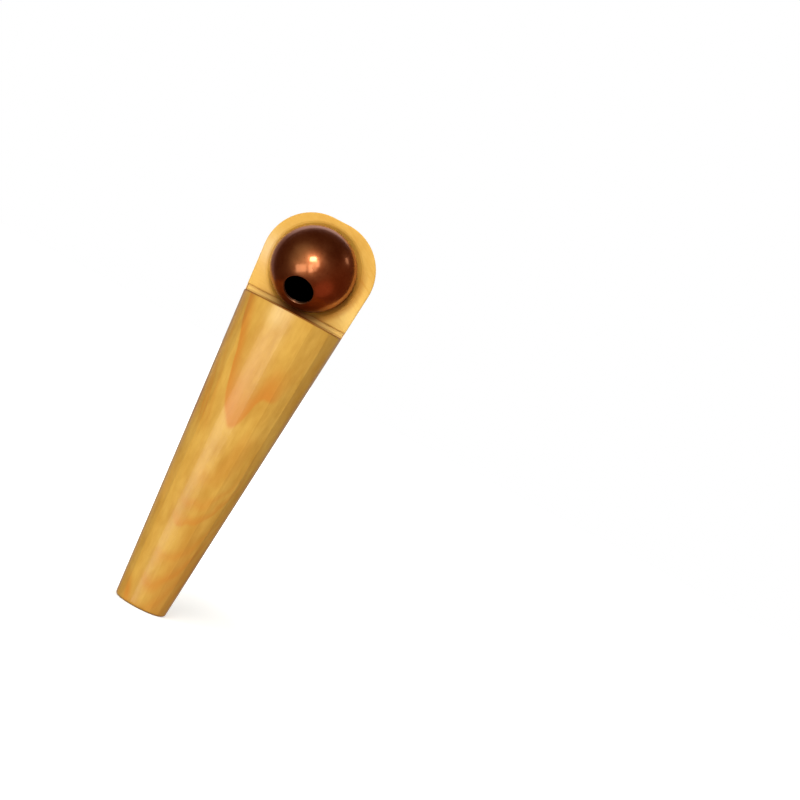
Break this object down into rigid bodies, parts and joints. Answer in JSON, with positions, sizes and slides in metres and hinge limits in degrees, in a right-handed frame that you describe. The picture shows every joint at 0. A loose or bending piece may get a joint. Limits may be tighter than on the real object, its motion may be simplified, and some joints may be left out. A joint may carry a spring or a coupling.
{
  "type": "bird call",
  "caption": "Turned wooden cone whistle with a half-round sawn end, a hollow copper ball glued in a round seat there, and a slanted windway that blows across the ball's sound hole.",
  "frame": {"origin": "centre of the flat mouth end, where the call is blown; the call stands on this face", "axes": "+Z along the axis of the turned cone, from the mouth end up to the rounded crown; -Y is the side that the sawn face and the ball look to; +X completes the right-handed frame"},
  "size_m": [0.0216, 0.0208, 0.0797],
  "materials": {
    "varnished_wood": "satin varnish on the turned side, raw and matt on the sawn faces",
    "aged_copper": "polished copper, darkened brown by age",
    "clear_glue": "clear amber glue"
  },
  "bodies": {
    "root": {"turned_body": "varnished_wood", "copper_ball": "aged_copper", "glue_bed": "clear_glue"}
  },
  "joints": []
}
